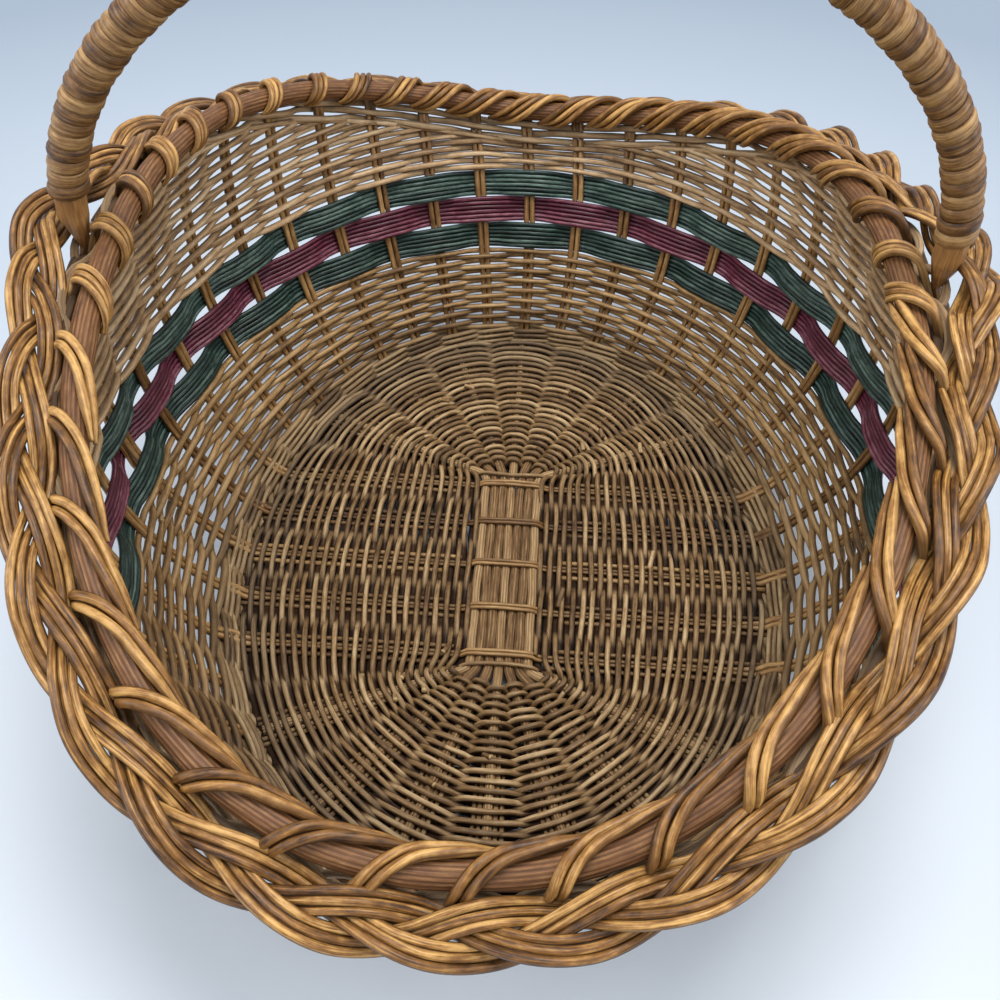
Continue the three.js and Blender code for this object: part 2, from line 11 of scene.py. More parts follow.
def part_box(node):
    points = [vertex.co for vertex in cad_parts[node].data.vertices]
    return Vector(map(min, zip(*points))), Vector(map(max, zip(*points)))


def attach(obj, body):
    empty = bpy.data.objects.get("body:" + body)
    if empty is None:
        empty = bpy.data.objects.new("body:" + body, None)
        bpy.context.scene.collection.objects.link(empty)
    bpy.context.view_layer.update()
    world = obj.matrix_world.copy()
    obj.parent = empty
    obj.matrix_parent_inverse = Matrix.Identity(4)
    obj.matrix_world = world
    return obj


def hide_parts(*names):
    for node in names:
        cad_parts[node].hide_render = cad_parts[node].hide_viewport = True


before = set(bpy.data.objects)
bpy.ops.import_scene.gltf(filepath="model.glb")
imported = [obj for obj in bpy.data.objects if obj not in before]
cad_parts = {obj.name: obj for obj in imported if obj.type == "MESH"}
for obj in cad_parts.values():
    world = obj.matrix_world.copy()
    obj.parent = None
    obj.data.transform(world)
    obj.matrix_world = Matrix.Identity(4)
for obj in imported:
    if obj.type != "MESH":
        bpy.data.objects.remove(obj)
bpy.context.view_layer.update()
scene = bpy.context.scene

TAU = 2 * math.pi
UP = np.array([0.0, 0.0, 1.0])
MM = 0.001

# The basket's plan and heights, as in the solids
BASE_HALF = (130, 176)
BELLY_HALF = (174, 207)
HOOP_HALF = (151, 223)
HOOP_SQUARENESS = 2.3
RIM_LEAN = np.array([-5.0, 6.0, 0.0])
BELLY_RISE = 72
HOOP_RISE = 152
SADDLE_RISE = 31
RIM_TWIST = -4
RIM_SPREAD = 0.15
HOOP_RADIUS = 5
HOOK_RADIUS = 7.63
BAND_ROW = 14.5
FOOT_CLIMB = 9

# Stations are the places of the stakes, counted round the basket
CROSS_STAKES = 5
LONG_STICKS = 7
END_STAKES = 2 * LONG_STICKS + 1
HALF_ROUND = CROSS_STAKES + END_STAKES
STATIONS = 2 * HALF_ROUND
STEP = TAU / STATIONS
HANDLE_PLACES = (CROSS_STAKES // 2, HALF_ROUND + CROSS_STAKES // 2)
STICK_PITCH = 4.5
SLATH_HALF_LENGTH = 62
SLATH_HALF_WIDTH = LONG_STICKS * STICK_PITCH / 2

# Sizes of the rods
STICK_ROD = 2.33
SIDE_ROD = 1.25
BASE_ROD = 1.4
BASE_ROD_SWELL = 0.75
SLATH_ROD = 0.95
SLATH_ROD_SHIFT = 1.0
STAKE_ROD = 1.55
STAKE_ROD_SHIFT = 1.62
BAND_RODS = 6
BAND_ROD = 1.27
BAND_ROD_PITCH = 2.36
PLAIT_ROD = 1.55
PLAIT_ROD_PITCH = 3.0

low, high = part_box("base_long_stick_4")
BASE_MIDDLE = np.array([(a + b) / 2 / MM for a, b in zip(low, high)])
BASE_Z = BASE_MIDDLE[2]
ORIGIN = np.array([BASE_MIDDLE[0], BASE_MIDDLE[1], 0.0])


# The basket's shape

def unit(v):
    return v / np.linalg.norm(v, axis=-1, keepdims=True)


def dot(a, b):
    return (a * b).sum(-1, keepdims=True)


def oval(angle, half, z):
    angle = np.asarray(angle, float)
    return np.stack([half[0] * np.cos(angle), half[1] * np.sin(angle), z + 0 * angle], -1)


def hoop_point(angle):
    turned = angle - RIM_SPREAD / 2 * np.sin(2 * angle)
    c, s = np.cos(turned), np.sin(turned)
    bulge = (abs(c) ** HOOP_SQUARENESS + abs(s) ** HOOP_SQUARENESS) ** (-1 / HOOP_SQUARENESS)
    z = BASE_Z + HOOP_RISE + SADDLE_RISE * np.cos(2 * turned) + RIM_TWIST * np.sin(2 * turned)
    return np.stack([HOOP_HALF[0] * bulge * c, HOOP_HALF[1] * bulge * s, z], -1) + RIM_LEAN


def hoop_frame(angle):
    """The hoop's middle, and the directions along it, outwards and up."""
    nudge = 1e-3
    along = unit(hoop_point(angle + nudge) - hoop_point(angle - nudge))
    out = unit(np.cross(along, UP))
    return hoop_point(angle), along, out, np.cross(out, along)


def wall_table(count):
    """Foot, belly, top and middle of the wall's line at evenly spaced angles."""
    angle = np.linspace(0, TAU, count, endpoint=False)
    foot = oval(angle, BASE_HALF, BASE_Z)
    belly = oval(angle, BELLY_HALF, BASE_Z + BELLY_RISE)
    point, _, out, rise = hoop_frame(angle)
    below = np.linalg.norm(foot - belly, axis=-1, keepdims=True)
    above = np.linalg.norm(belly - point, axis=-1, keepdims=True)
    m = 2 * below / (below + above)
    lean = np.zeros_like(m)
    for _ in range(12):
        top = point + HOOK_RADIUS * (out * np.cos(lean) + rise * np.sin(lean))
        slope = foot * (2 - m) / (2 * m) + belly * 2 / (m * (m - 2)) + top * (4 - m) / (2 * (2 - m))
        lean = (lean + np.arctan2(-dot(slope, out), dot(slope, rise))) / 2
    return np.concatenate([foot, belly, top, m, lean], -1)


WALL = wall_table(1440)


def wall_data(angle):
    place = np.mod(np.asarray(angle, float), TAU) / TAU * len(WALL)
    index = np.floor(place).astype(int)
    share = (place - index)[..., None]
    return WALL[index % len(WALL)] * (1 - share) + WALL[(index + 1) % len(WALL)] * share


def belly_at(angle):
    return wall_data(angle)[..., 9]


def wall_lean(angle):
    return wall_data(angle)[..., 10]


def wall_point(angle, height):
    """The stakes' middle. Height is 0 at the foot, belly_at(angle) at the belly and 2 at the rim."""
    data = wall_data(angle)
    foot, belly, top, m = data[..., 0:3], data[..., 3:6], data[..., 6:9], data[..., 9:10]
    h = (np.asarray(height, float) + 0 * np.asarray(angle, float))[..., None]
    return (foot * (h - m) * (h - 2) / (2 * m) + belly * h * (h - 2) / (m * (m - 2))
            + top * h * (h - m) / (2 * (2 - m)))


def wall_frame(angle, height):
    """Point, outward direction, and the millimetres in one unit of height."""
    nudge = 0.01
    rise = wall_point(angle, height + nudge) - wall_point(angle, height - nudge)
    speed = np.linalg.norm(rise, axis=-1) / (2 * nudge)
    run = unit(wall_point(angle + nudge, height) - wall_point(angle - nudge, height))
    return wall_point(angle, height), unit(np.cross(run, unit(rise))), speed


def height_near(angle, height, distance):
    """The height that lies a distance in millimetres above another."""
    return height + distance / wall_frame(angle, height)[2]


def station_angle(place):
    """Angle of a place counted in stations; whole numbers are stakes."""
    return (np.asarray(place, float) - (CROSS_STAKES - 1) / 2) * STEP


def rounded(x, sharpness):
    """A wave with its crests made flatter."""
    return np.tanh(sharpness * x) / math.tanh(sharpness)


def smooth(x):
    x = np.clip(x, 0, 1)
    return x * x * (3 - 2 * x)


# Rods

class Rods:
    """Round rods that become one mesh."""

    TAPER_REACH = 9.0
    CUT_THICKNESS = 0.03

    def __init__(self, seed):
        self.random = np.random.RandomState(seed)
        self.points, self.loops, self.starts = [], [], []
        self.values = {key: [] for key in ("fibre", "rod", "grime", "cut", "deep", "worn")}
        self.count = 0
        self.loop_count = 0

    def wave(self, along, lengths):
        """Slow waves of random phase, their lengths in millimetres."""
        total = 0 * along
        for length in lengths:
            total = total + np.sin(TAU * (along / length + self.random.rand()))
        return total / len(lengths)

    def skin(self, rings, closed, fibre, rod, deep, grime=0.0, cut=0.0, worn=0.0):
        """Quads along the rings, and a cap at each end unless the rods close on themselves."""
        count, sides = rings.shape[:2]
        first = self.count + np.arange(count)[:, None] * sides
        j, k = np.arange(sides), (np.arange(sides) + 1) % sides
        here, there = (first, np.roll(first, -1, 0)) if closed else (first[:-1], first[1:])
        quads = np.stack([here + j, there + j, there + k, here + k], -1).reshape(-1, 4)
        self.loops.append(quads.ravel())
        self.starts.append(self.loop_count + 4 * np.arange(len(quads)))
        self.loop_count += quads.size
        if not closed:
            for cap in (first[0] + j, (first[-1] + j)[::-1]):
                self.loops.append(cap)
                self.starts.append(np.array([self.loop_count]))
                self.loop_count += sides
        self.points.append(rings.reshape(-1, 3))
        self.count += count * sides
        self.values["fibre"].append(fibre.reshape(-1, 3))
        self.values["deep"].append(np.broadcast_to(deep, (count, sides)).ravel())
        for key, value in (("rod", rod), ("grime", grime), ("cut", cut), ("worn", worn)):
            self.values[key].append(np.repeat(np.broadcast_to(value, (count,)), sides))

    def add(self, path, ref, radius, closed=False, sides=6, taper=(1, 1), grime=0.0, tone=None,
            uneven=0.05, wander=0.18, flutes=0, flute_depth=0.0, grain=1, crevice=0.6, deep=0.0,
            worn=0.0, clean_cut=False):
        """A rod along a path. Its sides, away from ref, are darkened with painted shade, and so are its
        flutes' valleys.
        """
        path = np.asarray(path, float)
        ref = np.broadcast_to(ref, path.shape)
        cut = np.zeros(len(path))
        if clean_cut:
            last = unit(path[-1:] - path[-2:-1]) * self.CUT_THICKNESS
            path = np.concatenate([path, path[-1:] + last])
            ref = np.concatenate([ref, ref[-1:]])
            cut = np.append(cut, 1.0)
        count = len(path)
        steps = np.linalg.norm(np.roll(path, -1, 0) - path, axis=-1)
        along = np.concatenate([[0], np.cumsum(steps[:-1])])
        if closed:
            tangent = unit(np.roll(path, -1, 0) - np.roll(path, 1, 0))
        else:
            tangent = unit(np.gradient(path, axis=0))
        side = unit(np.cross(tangent, ref))
        normal = np.cross(side, tangent)
        fade = 1.0
        if closed:
            whole = along / (along[-1] + steps[-1])
            fade = np.minimum(1, np.minimum(whole, 1 - whole) * 20)
        size = radius * (1 + uneven * fade * self.wave(along, (23, 41, 77))) * np.ones(count)
        path = path + side * (wander * fade * self.wave(along, (31, 67)))[:, None]
        path = path + normal * (wander * fade * self.wave(along, (37, 83)))[:, None]
        if not closed:
            for share, away in zip(taper, (along, along[-1] - along)):
                size = size * (share + (1 - share) * smooth(away / self.TAPER_REACH))
        turn = np.arange(sides) * TAU / sides
        valley = 0.5 - 0.5 * np.cos(flutes * turn)
        ridge = 1 - 2 * flute_depth * valley
        # Painted shade on the rod's sides and in its flutes' valleys, with any given amount added
        shelter = np.maximum(crevice * (1 - np.abs(np.sin(turn))) ** 1.5, 0.55 * valley)
        shade = np.clip(shelter + np.broadcast_to(deep, (count,))[:, None], 0, 1)
        across = size[:, None] * ridge * np.cos(turn)
        above = size[:, None] * ridge * np.sin(turn)
        rings = path[:, None] + side[:, None] * across[..., None] + normal[:, None] * above[..., None]
        tone = self.random.rand() if tone is None else tone
        shift = 60 * self.random.rand()
        run = (along / 10 + shift)[:, None]
        fibre = np.stack(np.broadcast_arrays(run, grain * np.cos(turn) + 3 * tone,
                                             grain * np.sin(turn)), -1)
        self.skin(rings, closed, fibre, tone, shade, grime, cut, worn)

    def build(self, name, material, slot, nodes):
        """The mesh that is seen in place of the frame's nodes."""
        mesh = bpy.data.meshes.new(name)
        points = (np.concatenate(self.points) + ORIGIN) * MM
        loops = np.concatenate(self.loops).astype(np.int32)
        starts = np.concatenate(self.starts).astype(np.int32)
        mesh.vertices.add(len(points))
        mesh.vertices.foreach_set("co", points.ravel().astype(np.float32))
        mesh.loops.add(len(loops))
        mesh.loops.foreach_set("vertex_index", loops)
        mesh.polygons.add(len(starts))
        mesh.polygons.foreach_set("loop_start", starts)
        mesh.polygons.foreach_set("use_smooth", np.ones(len(starts), bool))
        mesh.update(calc_edges=True)
        mesh.validate()
        for key, values in self.values.items():
            kind, field = ("FLOAT_VECTOR", "vector") if key == "fibre" else ("FLOAT", "value")
            layer = mesh.attributes.new(key, kind, "POINT")
            layer.data.foreach_set(field, np.concatenate(values).ravel().astype(np.float32))
        mesh.materials.append(material)
        piece = bpy.data.objects.new(name, mesh)
        scene.collection.objects.link(piece)
        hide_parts(*nodes)
        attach(piece, "root")


# Materials

def colour(red, green, blue):
    """Linear colour of an 8-bit screen colour."""
    parts = [c / 255 for c in (red, green, blue)]
    return tuple(c / 12.92 if c <= 0.04045 else ((c + 0.055) / 1.055) ** 2.4 for c in parts) + (1.0,)


# What lies on the rattan, the pith at a cut end, and the tint of painted shade; the dust colour also
# paints shade where the base meets the wall
DUST_AND_SHADE = colour(92, 84, 72)
PITH = colour(206, 176, 126)
PAINTED_SHADE_TINT = (0.1, 0.055, 0.03, 1)
GRAIN = (0.45, 0.36, 0.28, 1)


def rattan(name, shades, roughness, coat, tone=0.5, streaks=1.3, bump=0.35, worn=None, by_object=False):
    """Streaked rattan in three shades; worn gives the shades of its handled stretches."""
    material = bpy.data.materials.new(name)
    material.use_nodes = True
    tree = material.node_tree
    nodes, link = tree.nodes, tree.links.new
    nodes.clear()
    output = nodes.new("ShaderNodeOutputMaterial")
    shader = nodes.new("ShaderNodeBsdfPrincipled")
    link(shader.outputs["BSDF"], output.inputs["Surface"])

    def give(socket, value):
        if isinstance(value, bpy.types.NodeSocket):
            link(value, socket)
        else:
            socket.default_value = value

    def math_node(kind, a, b, clamp=False):
        node = nodes.new("ShaderNodeMath")
        node.operation = kind
        node.use_clamp = clamp
        give(node.inputs[0], a)
        give(node.inputs[1], b)
        return node.outputs[0]

    def colour_mix(kind, factor, a, b):
        node = nodes.new("ShaderNodeMix")
        node.data_type = "RGBA"
        node.blend_type = kind
        factor_socket, a_socket, b_socket = (node.inputs[k] for k in (0, 6, 7))
        give(factor_socket, factor)
        give(a_socket, a)
        give(b_socket, b)
        return node.outputs[2]

    def attribute(key, kind="Fac"):
        node = nodes.new("ShaderNodeAttribute")
        node.attribute_name = key
        return node.outputs[kind]

    def noise(source, scale, detail, rough):
        mapping = nodes.new("ShaderNodeMapping")
        mapping.inputs["Scale"].default_value = scale
        link(source, mapping.inputs["Vector"])
        texture = nodes.new("ShaderNodeTexNoise")
        texture.inputs["Scale"].default_value = 1
        texture.inputs["Detail"].default_value = detail
        texture.inputs["Roughness"].default_value = rough
        link(mapping.outputs["Vector"], texture.inputs["Vector"])
        return texture.outputs["Fac"]

    def centred(value, amount):
        return math_node("MULTIPLY", math_node("SUBTRACT", value, 0.5), amount)

    def ramp(place, dark, middle, pale):
        node = nodes.new("ShaderNodeValToRGB")
        stops = node.color_ramp.elements
        stops[0].position, stops[0].color = 0.08, colour(*dark)
        stops[1].position, stops[1].color = 0.92, colour(*pale)
        stops.new(0.5).color = colour(*middle)
        link(place, node.inputs["Fac"])
        return node.outputs["Color"]

    if by_object:
        source = nodes.new("ShaderNodeTexCoord").outputs["Object"]
        streak = noise(source, (900, 900, 60), 5, 0.65)
        blotch = noise(source, (60, 60, 60), 3, 0.5)
        fine = noise(source, (2500, 2500, 120), 4, 0.7)
        rod = noise(source, (9, 9, 9), 1, 0.5)
    else:
        source = attribute("fibre", "Vector")
        streak = noise(source, (0.55, 1.8, 1.8), 5, 0.65)
        blotch = noise(source, (1.7, 0.5, 0.5), 3, 0.6)
        fine = noise(source, (0.5, 6, 6), 4, 0.7)
        rod = attribute("rod")

    place = math_node("ADD", centred(rod, tone), centred(streak, streaks))
    place = math_node("ADD", place, centred(blotch, 0.9))
    place = math_node("ADD", place, 0.5, clamp=True)
    surface = ramp(place, *shades)
    if worn:
        surface = colour_mix("MIX", attribute("worn"), surface, ramp(place, *worn))
    lines = math_node("MULTIPLY", math_node("SUBTRACT", 0.62, fine), 2.2, clamp=True)
    surface = colour_mix("MULTIPLY", math_node("MULTIPLY", lines, 0.55), surface, GRAIN)
    # Grey dust in patches; where the base meets the wall it also paints shade
    grime = attribute("grime")
    dust_and_shade_patch = math_node("ADD", grime, centred(blotch, 0.7))
    dust_and_shade_patch = math_node("MULTIPLY", dust_and_shade_patch, math_node("GREATER_THAN", grime, 0.02))
    surface = colour_mix("MIX", math_node("MULTIPLY", dust_and_shade_patch, 0.8, clamp=True), surface, DUST_AND_SHADE)
    # Painted shade darkens the colour where the rods are shaded
    painted_shade_mask = math_node("MULTIPLY", attribute("deep"), math_node("ADD", blotch, 0.55), clamp=True)
    surface = colour_mix("MULTIPLY", painted_shade_mask, surface, PAINTED_SHADE_TINT)
    surface = colour_mix("MIX", math_node("GREATER_THAN", attribute("cut"), 0.9), surface, PITH)
    link(surface, shader.inputs["Base Color"])

    rough = math_node("ADD", centred(streak, 0.3), roughness)
    rough = math_node("ADD", rough, math_node("MULTIPLY", grime, 0.3))
    rough = math_node("ADD", rough, math_node("MULTIPLY", painted_shade_mask, 0.45), clamp=True)
    link(rough, shader.inputs["Roughness"])
    shader.inputs["Specular IOR Level"].default_value = 0.3
    shader.inputs["Coat Weight"].default_value = coat
    shader.inputs["Coat Roughness"].default_value = 0.28
    relief = nodes.new("ShaderNodeBump")
    relief.inputs["Strength"].default_value = bump
    relief.inputs["Distance"].default_value = 0.0004
    link(math_node("ADD", fine, streak), relief.inputs["Height"])
    link(relief.outputs["Normal"], shader.inputs["Normal"])
    return material


# Each rattan's dark, middle and pale shade, as screen colours
GOLDEN = (60, 34, 12), (138, 94, 42), (212, 166, 98)
wall_rattan = rattan("wall_rattan", ((92, 64, 36), (156, 122, 76), (208, 172, 122)),
                     roughness=0.5, coat=0.15)
top_rattan = rattan("top_rattan", ((120, 92, 64), (188, 154, 112), (230, 202, 162)),
                    roughness=0.5, coat=0.15)
stake_rattan = rattan("stake_rattan", ((84, 56, 30), (142, 104, 60), (190, 152, 100)),
                      roughness=0.42, coat=0.2, worn=GOLDEN)
base_rattan = rattan("base_rattan", ((80, 56, 33), (152, 120, 79), (216, 186, 140)),
                     roughness=0.5, coat=0.1)
stick_rattan = rattan("stick_rattan", ((100, 68, 42), (172, 136, 92), (218, 184, 136)),
                      roughness=0.6, coat=0, streaks=1.8, bump=0.7)
border_rattan = rattan("border_rattan", GOLDEN, roughness=0.36, coat=0.25, streaks=2.0, bump=0.6)
core_rattan = rattan("core_rattan", ((76, 46, 26), (128, 86, 51), (172, 128, 82)),
                     roughness=0.45, coat=0.1)
green_rattan = rattan("green_rattan", ((12, 26, 24), (34, 60, 54), (108, 134, 124)),
                      roughness=0.34, coat=0.3, tone=0.3, streaks=1.4)
burgundy_rattan = rattan("burgundy_rattan", ((54, 14, 28), (102, 36, 58), (168, 112, 126)),
                         roughness=0.34, coat=0.3, tone=0.3, streaks=1.4)
cane = rattan("handle_cane", ((66, 40, 20), (130, 92, 50), (182, 144, 92)),
              roughness=0.42, coat=0.2, streaks=1.7, bump=0.6)


# Base

def spoke_start(place):
    """Where a station's spoke leaves the slath."""
    place = int(place) % STATIONS
    far = 1 if place < HALF_ROUND else -1
    local = place % HALF_ROUND
    angle = station_angle(place)
    if local < CROSS_STAKES:
        x = math.copysign(SLATH_HALF_WIDTH, math.cos(angle))
        return np.array([x, BASE_HALF[1] * math.sin(angle), 0])
    across = (local - CROSS_STAKES - (END_STAKES - 1) / 2) / 2
    return np.array([-far * across * STICK_PITCH, far * SLATH_HALF_LENGTH, 0])


def spoke(place):
    """A spoke's root, its run to the base's edge and its length."""
    start = spoke_start(place)
    run = oval(station_angle(place), BASE_HALF, 0) - start
    return start, run, np.linalg.norm(run)


def closed_spline(points, place):
    """Smooth closed curve through evenly spaced points."""
    index = np.floor(place).astype(int)
    t = (place - index)[:, None]
    a, b, c, d = (points[(index + k) % len(points)] for k in (-1, 0, 1, 2))
    square = (2 * a - 5 * b + 4 * c - d) * t ** 2
    cube = (3 * b - a - 3 * c + d) * t ** 3
    return 0.5 * (2 * b + (c - a) * t + square + cube)


# The weave's first row, measured from a spoke's root: at the cross stakes, the corners and the fans
CROSS_START, CORNER_START, FAN_START = -0.8, 3.0, 7.0
WEAVE_MARGIN = 3.5
BASE_ROWS = 44
BASE_LENGTHS = 32
BASE_LIFT = 2.65
FAN_LIFT = 0.75
CUT_ENDS = 7
STICK_MARGIN = 3
SIDE_ROD_SHIFTS = (-6.3, -3.7, 3.7, 6.3)
LOOSE_ROD = 1.3
LOOSE_ROD_SHIFT = 4.7


def weave_ring(outer):
    """Points of the base's weave at its inner or outer edge, one for each station."""
    ring = []
    for place in range(STATIONS):
        start, run, length = spoke(place)
        local = place % HALF_ROUND
        corner = local in (CROSS_STAKES, HALF_ROUND - 1)
        first = CROSS_START if local < CROSS_STAKES else CORNER_START if corner else FAN_START
        share = 1 - WEAVE_MARGIN / length if outer else first / length
        ring.append(start + run * share)
    return np.array(ring)


INNER_RING, OUTER_RING = weave_ring(outer=False), weave_ring(outer=True)
# At the ends, a fanned stick lies at every second station
SPOKE_PLACES = [k for k in range(STATIONS) if k % HALF_ROUND < CROSS_STAKES or k % 2 == 0]


def base_point(place, share):
    """Points of the base; share is 0 at the weave's first row and 1 at its last."""
    share = share[:, None]
    return closed_spline(INNER_RING, place) * (1 - share) + closed_spline(OUTER_RING, place) * share


def spoke_place(place):
    """Place counted in spokes of the base."""
    turns = np.floor(place / STATIONS)
    spokes = len(SPOKE_PLACES)
    within = np.interp(place - turns * STATIONS, SPOKE_PLACES + [STATIONS], np.arange(spokes + 1))
    return within + spokes * turns


def base_dust_and_shade(path):
    """A little dust everywhere; more dust and painted shade towards the base's edge, where it meets the
    wall.
    """
    reach = np.hypot(path[:, 0] / BASE_HALF[0], path[:, 1] / BASE_HALF[1])
    return 0.04 + 0.5 * smooth((reach - 0.74) / 0.24)


def add_base_weaver(rods, phase, start):
    place = start + np.arange(0, BASE_ROWS / 2 * STATIONS, 0.1)
    share = (2 * (place - start) / STATIONS + 0.5) / BASE_ROWS
    uneven = 0.006 * np.sin(TAU * place / 13.3 + 2 * phase) + 0.004 * np.sin(TAU * place / 5.9)
    path = base_point(place, np.clip(share + uneven, 0, 1))
    fan = smooth((np.abs(path[:, 1]) - SLATH_HALF_LENGTH + 6) / 12)
    near = smooth((0.5 - share) / 0.3)
    lift = BASE_LIFT + FAN_LIFT * fan * near
    path[:, 2] = BASE_Z + phase * lift * rounded(np.cos(math.pi * spoke_place(place)), 1.9)
    for part in np.array_split(np.arange(len(path)), BASE_LENGTHS):
        piece = path[max(part[0] - 1, 0):part[-1] + 1]
        # Where a weaver dips under the base's middle it swells, and its lower stretch gets painted
        # shade
        under = smooth((BASE_Z + 1.0 - piece[:, 2]) / 2.5)
        rods.add(piece, UP, BASE_ROD + BASE_ROD_SWELL * under, grime=base_dust_and_shade(piece),
                 taper=(0.8, 0.8), uneven=0.08, deep=0.9 * under)
    # A thin rod holds the sticks together where they start to fan
    x = np.linspace(-1, 1, 40)
    over = np.stack([x * (SLATH_HALF_WIDTH + 2.5), phase * (SLATH_HALF_LENGTH - 1.5 + 1.2 * x ** 2),
                     BASE_Z + 3.3 - 2.6 * x ** 8], -1)
    rods.add(over, UP, 1.0, sides=8, uneven=0.08)
    # Where a length gives out, its end stands a little proud of the base
    for _ in range(CUT_ENDS):
        place = STATIONS * rods.random.rand() + np.linspace(0, 0.35, 8)
        share = 0.08 + 0.75 * rods.random.rand() + 0.02 * np.linspace(0, 1, 8)
        path = base_point(place, share)
        path[:, 2] = BASE_Z + np.linspace(2.6, 4.6, 8)
        rods.add(path, UP, 1.3, sides=8, clean_cut=True)


def smoothed(path, width):
    """Even out the corners of a path sampled about every millimetre."""
    kernel = np.hanning(width + 2)[1:-1]
    kernel /= kernel.sum()
    margin = width // 2
    padded = np.concatenate([np.repeat(path[:1], margin, 0), path, np.repeat(path[-1:], margin, 0)])
    return np.stack([np.convolve(padded[:, k], kernel, "valid") for k in range(3)], -1)


def lengths_along(path):
    """A path's length up to each of its points."""
    return np.concatenate([[0], np.cumsum(np.linalg.norm(np.diff(path, axis=0), axis=1))])


def polyline(corners):
    """A path through corners with a point about every millimetre."""
    corners = np.asarray(corners, float)
    reach = lengths_along(corners)
    at = np.linspace(0, reach[-1], int(reach[-1]))
    return np.stack([np.interp(at, reach, corners[:, k]) for k in range(3)], -1)


def add_long_stick(rods, number):
    """A fluted stick of the slath that fans out at both ends, with thin rods beside its fanned ends."""
    far = CROSS_STAKES + 1 + 2 * number
    near = STATIONS - 2 - 2 * number
    x = spoke_start(far)[0]
    tips = []
    for place in (near, far):
        start, run, length = spoke(place)
        tips.append(start + run * (1 - STICK_MARGIN / length))
    path = polyline([tips[0], (x, -SLATH_HALF_LENGTH, 0), (x, SLATH_HALF_LENGTH, 0), tips[1]])
    path = smoothed(path, 15)[::3]
    path[:, 2] = BASE_Z
    # The flutes' valleys get painted shade
    rods.add(path, UP, STICK_ROD + 0.06 * rods.random.randn(), sides=36, grime=base_dust_and_shade(path),
             wander=0.3, flutes=9, flute_depth=0.05, grain=2)
    for place in (near, far):
        start, run, length = spoke(place)
        across = np.cross(run / length, UP)
        for shift in SIDE_ROD_SHIFTS:
            first = (0.3 if abs(shift) < 5 else 0.45) + 0.05 * rods.random.rand()
            line = np.linspace(first, 1 - STICK_MARGIN / length, 24)[:, None]
            side_path = start + run * line + across * shift * (0.7 + 0.4 * line)
            side_path[:, 2] = BASE_Z - 0.4
            # The side rods lie a little low and get painted shade
            rods.add(side_path, UP, SIDE_ROD, grime=base_dust_and_shade(side_path), taper=(0.5, 1),
                     deep=0.25)


# Stakes and their turned ends

# How each rod of a stake is drawn
STAKE_STYLE = {"sides": 8, "uneven": 0.03, "wander": 0.12}
# Where a turned end stops, in degrees round the hoop from its outward side, and the inner curl
WOUND_END = 248
LONG_END = 112
LONG_CURL = 46


def nearness(angle):
    """0 for the short steep turned ends of the far half, 1 for the long ones of the near end."""
    return float(smooth((-0.05 - math.sin(angle)) / 0.35))


def flatness(angle):
    """1 at the far rim's right half, where the turned ends lie almost along the hoop."""
    degrees = math.degrees(angle) % 360
    return float(np.clip((126 - degrees) / 40, 0, 1) * smooth((degrees + 5) / 35))


def hook_rods(place):
    """Rods of a turned stake end: side shifts and radius. The near end has pairs of thick rods."""
    angle = station_angle(place)
    if nearness(angle) > 0.5:
        return (-1.0, 1.0), 1.75
    return (-2.0, 0.0, 2.0), 1.4 + 0.4 * flatness(angle)


def hook_path(place):
    """Over the rim hoop from outside to inside: wound round it, or on along its inner flank."""
    angle = station_angle(place)
    lean = float(wall_lean(angle))
    share = np.linspace(0, 1, 30)
    near = nearness(angle)
    wound_advance = (0.5 + 1.2 * flatness(angle)) * share
    wound_turn = lean + (math.radians(WOUND_END) - lean) * share
    long_advance = 0.28 * smooth(share / 0.5) + 1.3 * np.clip((share - 0.25) / 0.75, 0, 1) ** 1.2
    long_turn = lean + (math.radians(LONG_END) - lean) * smooth(share / 0.5)
    long_turn = long_turn + math.radians(LONG_CURL) * np.clip((share - 0.4) / 0.6, 0, 1) ** 1.3
    advance = wound_advance * (1 - near) + long_advance * near
    turn = wound_turn * (1 - near) + long_turn * near
    spread = HOOK_RADIUS - 1.2 * smooth((share - 0.7 * near) / (1 - 0.7 * near))
    advance, turn, spread = smoothed(np.stack([advance, turn, spread], -1), 7).T
    point, _, out, rise = hoop_frame(angle + advance * STEP)
    around = out * np.cos(turn)[:, None] + rise * np.sin(turn)[:, None]
    return point + around * spread[:, None], around


def stake_rods(place):
    """Each rod of a stake from the wall's foot to its turned end; a middle one starts at the rim."""
    heights = np.linspace(0, 2, 34)
    wall, wall_out, _ = wall_frame(np.full(len(heights), station_angle(place)), heights)
    hook, hook_out = hook_path(place)
    shifts, thick = hook_rods(place)
    for shift in shifts:
        first = 0 if shift else len(wall) - 4
        path = np.concatenate([wall[first:], hook[1:]])
        out = np.concatenate([wall_out[first:], hook_out[1:]])
        side = unit(np.cross(out, unit(np.gradient(path, axis=0))))
        count = np.arange(len(path))
        blend = smooth((count - len(wall) + first + 4) / 7)
        wall_shift = STAKE_ROD_SHIFT * np.sign(shift)
        path = path + side * (wall_shift * (1 - blend) + shift * thick * 1.02 * blend)[:, None]
        size = STAKE_ROD + (thick - STAKE_ROD) * blend
        size = size * (1 - 0.5 * smooth((count - len(path) + 9) / 8))
        yield path, out, size, blend, int(np.sign(shift))


def add_end_stake(rods, place):
    for path, out, size, worn, _ in stake_rods(place):
        rods.add(path, -out, size, worn=worn, **STAKE_STYLE)


